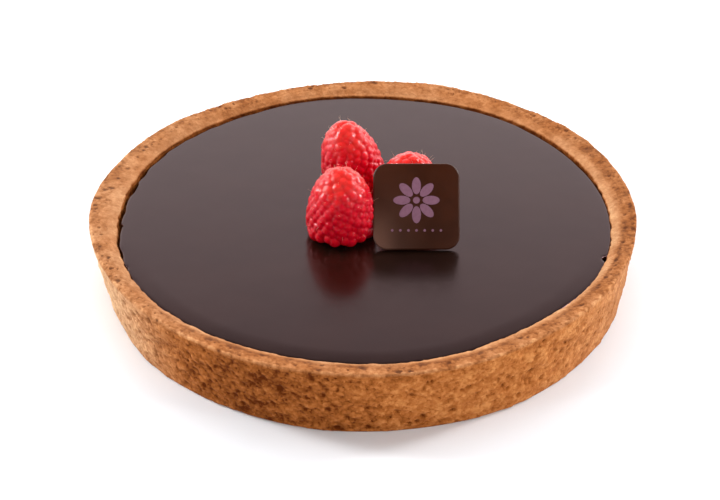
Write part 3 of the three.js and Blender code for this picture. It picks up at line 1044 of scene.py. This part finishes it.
class TART_OT_set_raspberries(Operator):
    """Set the three raspberries, drupelet by drupelet, with their fine hairs"""

    bl_idname = "tart.set_raspberries"
    bl_label = "Set Raspberries"

    def execute(self, context):
        settings = context.scene.tart_raspberries
        flesh = raspberry_material(settings)
        hair = hair_material()
        filling_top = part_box("chocolate_filling")[1][2] - CREEP
        for berry in BERRIES:
            balls = drupelets(berry, settings)
            lowest = min(middle.z - size for middle, size, _ in balls)
            foot = Vector((berry.x * MM, berry.y * MM, filling_top - BERRY_DIP - lowest))
            balls = [(middle + foot, size, t) for middle, size, t in balls]
            core = foot + 0.4 * MM * Vector((berry.tip_x, 0, berry.height))
            fruit = self.grow(berry, balls, core, foot, settings)
            fruit.data.materials.append(flesh)
            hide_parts(berry.node)
            hairs = self.grow_hairs(berry, balls, core, settings)
            hairs.data.materials.append(hair)
            for piece in (fruit, hairs):
                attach(piece, "root")
        return {"FINISHED"}

    def grow(self, berry, balls, core, foot, settings):
        """One skin over drupelets that meet in shallow creases. They are swollen, most
        of all towards the tip, and a little more again at the foot."""
        name = berry.node + "_fruit"
        piece = self.core_of(name, berry, foot, settings)
        swollen = []
        for middle, size, t in balls:
            swell = mix(1.3, 2.3, smooth_step(t, 0.45, 1.0)) + 0.5 * (1 - smooth_step(t, 0.0, 0.12))
            outward = (middle - core).normalized()
            swollen.append((middle - (swell - 1) * size * outward, swell * size, t))
        batches = [
            self.blow_up(name + "_batch", swollen[first:first + DRUPELETS_A_BATCH], core, settings.stretch)
            for first in range(0, len(swollen), DRUPELETS_A_BATCH)]
        self.join(piece, batches)
        apply_modifier(piece, "REMESH", mode="VOXEL", voxel_size=settings.skin_detail)
        apply_modifier(piece, "SMOOTH", factor=0.5, iterations=2)
        lowest = min(middle.z - size for middle, size, _ in balls)
        for vertex in piece.data.vertices:
            vertex.co.z = max(vertex.co.z, lowest)
        self.colour_drupelets(piece, berry, swollen, core)
        bpy.ops.object.shade_smooth()
        return piece

    def core_of(self, name, berry, foot, settings):
        """The body of the fruit under its drupelets."""
        take = start_piece(name)
        bpy.ops.mesh.primitive_uv_sphere_add(
            segments=40, ring_count=28, radius=1, location=(0, 0, 0))
        piece = take()
        for vertex in piece.data.vertices:
            t = min(max((vertex.co.z + 1) / 2, 0), 1)
            radius, height = berry_curve(berry, settings, t)
            flat = Vector((vertex.co.x, vertex.co.y, 0))
            flat = flat.normalized() * radius if flat.length > 0.01 else Vector()
            vertex.co = foot + flat + Vector((t * berry.tip_x * MM, 0, height))
        return piece

    def colour_drupelets(self, piece, berry, swollen, core):
        """Marks for the material: the height share, the creases, which the material
        darkens as painted shade, and a tone of its own for each drupelet."""
        tree = tree_of([(middle, size) for middle, size, _ in swollen])
        looks = []
        for vertex in piece.data.vertices:
            _, index, _ = tree.find(vertex.co)
            middle, _, t = swollen[index]
            lean = (vertex.co - middle).normalized().dot((middle - core).normalized())
            looks.append((t, 1 - smooth_step(lean, 0.88, 0.96), scatter(index + 7 * berry.seed)))
        for key, values in zip(("tip", "crease", "own_tone"), zip(*looks)):
            add_attribute(piece, key, values)

    def blow_up(self, name, balls, core, stretch_by):
        """A batch of drupelets, stretched along the side of the fruit from foot to
        tip. Small batches keep each added ball quick."""
        take = start_piece(name)
        first, *rest = balls
        bpy.ops.mesh.primitive_ico_sphere_add(subdivisions=4, radius=first[1], location=first[0])
        piece = take()
        bpy.ops.object.transform_apply(location=True, rotation=False, scale=False)
        edit(piece)
        for middle, size, _ in rest:
            bpy.ops.mesh.primitive_ico_sphere_add(subdivisions=4, radius=size, location=middle)
        leave_edit()
        each = len(piece.data.vertices) // len(balls)
        for index, (middle, _, _) in enumerate(balls):
            outward = (middle - core).normalized()
            along = Vector((0, 0, 1)) - outward * outward.z
            steep = min(1.0, along.length)
            along.normalize()
            for vertex in piece.data.vertices[index * each:(index + 1) * each]:
                vertex.co += (stretch_by - 1) * steep * (vertex.co - middle).dot(along) * along
        return piece

    def join(self, piece, batches):
        """Makes the batches part of the piece and drops their emptied meshes."""
        meshes = [batch.data for batch in batches]
        bpy.ops.object.select_all(action="DESELECT")
        for part in (piece, *batches):
            part.select_set(True)
        bpy.context.view_layer.objects.active = piece
        bpy.ops.object.join()
        for mesh in meshes:
            bpy.data.meshes.remove(mesh)

    def grow_hairs(self, berry, balls, core, settings):
        """A fine curved hair on some of the drupelets, on more of them at the tip."""
        dice = random.Random(berry.seed)
        take = start_piece(berry.node + "_hairs")
        roots = []
        piece = None
        for middle, size, t in balls:
            if dice.random() > 0.12 + 0.4 * t or middle.z < core.z - 6 * MM:
                continue
            outward = (middle - core).normalized()
            direction = (outward + Vector((dice.uniform(-0.5, 0.5), dice.uniform(-0.5, 0.5),
                                           dice.uniform(-0.1, 0.7)))).normalized()
            root = middle + 0.93 * size * (0.7 * outward + 0.3 * direction).normalized()
            length = settings.hair_length * dice.uniform(0.45, 0.75 + 0.4 * t)
            turn = direction.to_track_quat("Z", "Y").to_euler()
            bpy.ops.mesh.primitive_cone_add(
                vertices=4, radius1=HAIR_ROOT, radius2=HAIR_TIP, depth=length,
                location=root + direction * length / 2, rotation=turn)
            if piece is None:
                piece = take()
                bpy.ops.object.transform_apply(location=True, rotation=True, scale=True)
                edit(piece)
            roots.append((root, length))
        bpy.ops.mesh.select_all(action="SELECT")
        bpy.ops.mesh.subdivide(number_cuts=3)
        leave_edit()
        tree = tree_of(roots)
        for vertex in piece.data.vertices:
            _, index, distance = tree.find(vertex.co)
            share = min(distance / roots[index][1], 1)
            lean = Vector((scatter(index) - 0.5, scatter(index + 40) - 0.5, scatter(index + 80) - 0.6))
            vertex.co += lean * share ** 2 * HAIR_BEND
        bpy.ops.object.shade_smooth()
        return piece


def plaque_material(settings):
    nodes = Nodes("plaque_chocolate")
    colour = tuple(settings.chocolate)
    clouds = nodes.span(nodes.noise(130, 3), 0.3, 0.7)
    colour = nodes.blend(clouds, colour, tuple(1.3 * c for c in colour))
    (left, _, foot), (right, _, top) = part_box("chocolate_plaque")
    x, z = nodes.axis("X"), nodes.axis("Z")
    # Painted sheen: paler towards the lower left, where a reflection is painted in.
    painted_sheen = nodes.math("MULTIPLY", nodes.span(x, left, mix(left, right, 0.7), 0.7, 0.0),
                       nodes.span(z, foot, top, 1.0, 0.15))
    colour = nodes.blend(painted_sheen, colour, tuple(settings.painted_sheen))
    # Stronger painted sheen at the lower left corner.
    corner = nodes.math("MULTIPLY", nodes.span(x, left, mix(left, right, 0.34), 1.0, 0.0),
                        nodes.span(z, foot, mix(foot, top, 0.6), 1.0, 0.0))
    colour = nodes.blend(corner, colour, tuple(1.9 * c for c in settings.painted_sheen))
    roughness = nodes.span(nodes.noise(420, 3), 0.3, 0.7, 0.3, 0.38)
    normal = nodes.bump(nodes.noise(160, 3), 0.05 * MM, 0.4)
    nodes.set(IOR=1.38)
    return nodes.finish(colour, roughness, normal)


def print_material(settings):
    nodes = Nodes("printed_mauve")
    colour = tuple(settings.print_colour)
    wear = nodes.span(nodes.noise(900, 3), 0.35, 0.7)
    colour = nodes.blend(wear, colour, tuple(0.86 * c for c in colour))
    nodes.set(Roughness=0.42)
    return nodes.finish(colour)


class TART_OT_stand_plaque(Operator):
    """Mould the square plaque, print a blossom on it and lean it back"""

    bl_idname = "tart.stand_plaque"
    bl_label = "Stand Plaque"

    def execute(self, context):
        settings = context.scene.tart_plaque
        low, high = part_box("chocolate_plaque")
        middle_x = (low[0] + high[0]) / 2
        slab = self.mould(settings)
        blossom = self.print_blossom(settings)
        foot = Vector((middle_x, low[1] + settings.thickness * math.cos(settings.lean),
                       low[2] - PLAQUE_DIP))
        for piece in (slab, blossom):
            bpy.ops.object.select_all(action="DESELECT")
            edit(piece)
            bpy.ops.mesh.select_all(action="SELECT")
            bpy.ops.transform.translate(value=foot)
            leave_edit()
            turn = Matrix.Rotation(math.pi / 2 - settings.lean, 4, "X")
            for vertex in piece.data.vertices:
                vertex.co = foot + turn @ (vertex.co - foot)
            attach(piece, "root")
        slab.data.materials.append(plaque_material(settings))
        blossom.data.materials.append(print_material(settings))
        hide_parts("chocolate_plaque")
        return {"FINISHED"}

    def mould(self, settings):
        """The plaque lying flat, its front edge on the x axis."""
        take = start_piece("moulded_plaque")
        bpy.ops.mesh.primitive_cube_add(
            size=1, location=(0, settings.side / 2, settings.thickness / 2),
            scale=(settings.side, settings.side, settings.thickness))
        piece = take()
        bpy.ops.object.transform_apply(location=True, rotation=True, scale=True)
        edit(piece)
        bpy.ops.mesh.select_mode(type="EDGE")
        self.select_edges(piece, lambda a, b: abs(a.z - b.z) > 0.5 * settings.thickness)
        bpy.ops.mesh.bevel(offset=settings.corner, segments=12, affect="EDGES")
        self.select_edges(piece, lambda a, b: abs(a.z - b.z) < 0.01 * MM)
        bpy.ops.mesh.bevel(offset=PLAQUE_EDGE, segments=4, affect="EDGES")
        bpy.ops.mesh.select_all(action="SELECT")
        bpy.ops.mesh.normals_make_consistent(inside=False)
        leave_edit()
        bpy.ops.object.shade_smooth_by_angle(angle=math.radians(35))
        return piece

    def select_edges(self, piece, wanted):
        bpy.ops.mesh.select_all(action="DESELECT")
        mesh = bmesh.from_edit_mesh(piece.data)
        for edge in mesh.edges:
            edge.select_set(wanted(edge.verts[0].co, edge.verts[1].co))
        bmesh.update_edit_mesh(piece.data)

    def print_blossom(self, settings):
        """A blossom over a row of dots, on the plaque's top while it lies flat."""
        take = start_piece("plaque_blossom")
        top = settings.thickness + 0.01 * MM
        heart = Vector((0, HEART_AT * settings.side, top))
        bpy.ops.mesh.primitive_circle_add(
            vertices=28, radius=HEART_RADIUS, fill_type="NGON", location=heart)
        piece = take()
        bpy.ops.object.transform_apply(location=True, rotation=True, scale=True)
        edit(piece)
        middle = heart + Vector((PETAL_REACH, 0, 0))
        for petal in range(PETALS):
            bpy.ops.mesh.select_all(action="DESELECT")
            bpy.ops.mesh.primitive_circle_add(
                vertices=28, radius=PETAL_RADIUS, fill_type="NGON", location=middle)
            bpy.ops.transform.resize(value=(PETAL_LENGTHENING, 1, 1), center_override=middle)
            bpy.ops.transform.rotate(
                value=2 * math.pi * petal / PETALS, orient_axis="Z", center_override=heart)
        for dot in range(DOTS):
            place = ((dot - DOTS // 2) * DOT_PITCH, DOTS_AT * settings.side, top)
            bpy.ops.mesh.primitive_circle_add(
                vertices=16, radius=DOT_RADIUS, fill_type="NGON", location=place)
        bpy.ops.mesh.select_all(action="SELECT")
        bpy.ops.mesh.extrude_region_move(TRANSFORM_OT_translate={"value": (0, 0, PRINT_THICKNESS)})
        bpy.ops.mesh.select_all(action="SELECT")
        bpy.ops.mesh.normals_make_consistent(inside=False)
        leave_edit()
        return piece


class TART_OT_set_stage(Operator):
    """Set the pale floor, the soft studio light and the camera"""

    bl_idname = "tart.set_stage"
    bl_label = "Set Stage"

    def execute(self, context):
        stage = context.scene.tart_stage
        self.lay_floor(stage)
        context.scene.world = self.hang_backdrop()
        self.set_lamps()
        take = start_piece("camera")
        bpy.ops.object.camera_add(
            location=CAMERA_PLACE, rotation=(math.pi / 2 - CAMERA_DIP, 0, 0))
        camera = take()
        camera.data.lens = stage.focal_length
        camera.data.sensor_width = SENSOR_WIDTH
        camera.data.clip_start = 0.01
        context.scene.camera = camera
        context.scene.view_settings.view_transform = "Standard"
        return {"FINISHED"}

    def lay_floor(self, stage):
        take = start_piece("studio_floor")
        bpy.ops.mesh.primitive_plane_add(size=FLOOR_SIDE, location=(0, 0, 0))
        floor = take()
        nodes = Nodes("studio_paper")
        colour = tuple(stage.floor_colour)
        grain = nodes.span(nodes.noise(40, 2), 0.3, 0.7)
        colour = nodes.blend(grain, colour, tuple(0.99 * c for c in colour))
        nodes.set(Roughness=0.9, Specular_IOR_Level=0.1)
        floor.data.materials.append(nodes.finish(colour))

    def hang_backdrop(self):
        """A white backdrop that is brightest low behind the tart and dim overhead and
        on the camera's side."""
        world = bpy.data.worlds.new("studio_tent")
        world.use_nodes = True
        tree = world.node_tree
        background = tree.nodes["Background"]
        place = tree.nodes.new("ShaderNodeTexCoord")
        split = tree.nodes.new("ShaderNodeSeparateXYZ")
        tree.links.new(place.outputs["Generated"], split.inputs["Vector"])
        by_height = tree.nodes.new("ShaderNodeValToRGB")
        tree.links.new(split.outputs["Z"], by_height.inputs["Fac"])
        elements = by_height.color_ramp.elements
        for position, level in BACKDROP_LEVELS:
            element = elements.new(position)
            element.color = (level, level, level, 1)
        elements.remove(elements[0])
        elements.remove(elements[-1])
        by_depth = tree.nodes.new("ShaderNodeMapRange")
        for key, number in zip(("From Min", "From Max", "To Min", "To Max"), BACKDROP_DEPTH):
            by_depth.inputs[key].default_value = number
        tree.links.new(split.outputs["Y"], by_depth.inputs["Value"])
        tree.links.new(by_height.outputs["Color"], background.inputs["Color"])
        tree.links.new(by_depth.outputs["Result"], background.inputs["Strength"])
        return world

    def set_lamps(self):
        """Softboxes at the sides and front, and fill cards above and in front."""
        for name, place, size, power in LAMPS:
            take = start_piece(name)
            turn = (LAMP_AIM - Vector(place)).to_track_quat("-Z", "Y").to_euler()
            bpy.ops.object.light_add(type="AREA", location=place, rotation=turn)
            lamp = take()
            lamp.data.shape = "RECTANGLE"
            lamp.data.size, lamp.data.size_y = size
            lamp.data.energy = power
            lamp.visible_glossy = not name.startswith("fill")


class TART_PT_panel(Panel):
    """The steps of making the tart"""

    bl_label = "Tart"
    bl_idname = "TART_PT_panel"
    bl_space_type = "VIEW_3D"
    bl_region_type = "UI"
    bl_category = "Tart"

    def draw(self, context):
        for settings, operator in (
            (context.scene.tart_crust, TART_OT_bake_crust),
            (context.scene.tart_chocolate, TART_OT_pour_chocolate),
            (context.scene.tart_raspberries, TART_OT_set_raspberries),
            (context.scene.tart_plaque, TART_OT_stand_plaque),
            (context.scene.tart_stage, TART_OT_set_stage),
        ):
            box = self.layout.box()
            for key in settings.__annotations__:
                box.prop(settings, key)
            box.operator(operator.bl_idname)


SETTINGS = (
    ("tart_crust", CrustSettings),
    ("tart_chocolate", ChocolateSettings),
    ("tart_raspberries", RaspberrySettings),
    ("tart_plaque", PlaqueSettings),
    ("tart_stage", StageSettings),
)

CLASSES = (
    TART_OT_bake_crust,
    TART_OT_pour_chocolate,
    TART_OT_set_raspberries,
    TART_OT_stand_plaque,
    TART_OT_set_stage,
    TART_PT_panel,
)


def register():
    for name, group in SETTINGS:
        bpy.utils.register_class(group)
        setattr(bpy.types.Scene, name, PointerProperty(type=group))
    for made in CLASSES:
        bpy.utils.register_class(made)


def unregister():
    for made in reversed(CLASSES):
        bpy.utils.unregister_class(made)
    for name, group in reversed(SETTINGS):
        delattr(bpy.types.Scene, name)
        bpy.utils.unregister_class(group)


def main():
    register()
    bpy.ops.tart.bake_crust()
    bpy.ops.tart.pour_chocolate()
    bpy.ops.tart.set_raspberries()
    bpy.ops.tart.stand_plaque()
    bpy.ops.tart.set_stage()


if __name__ == "__main__":
    main()
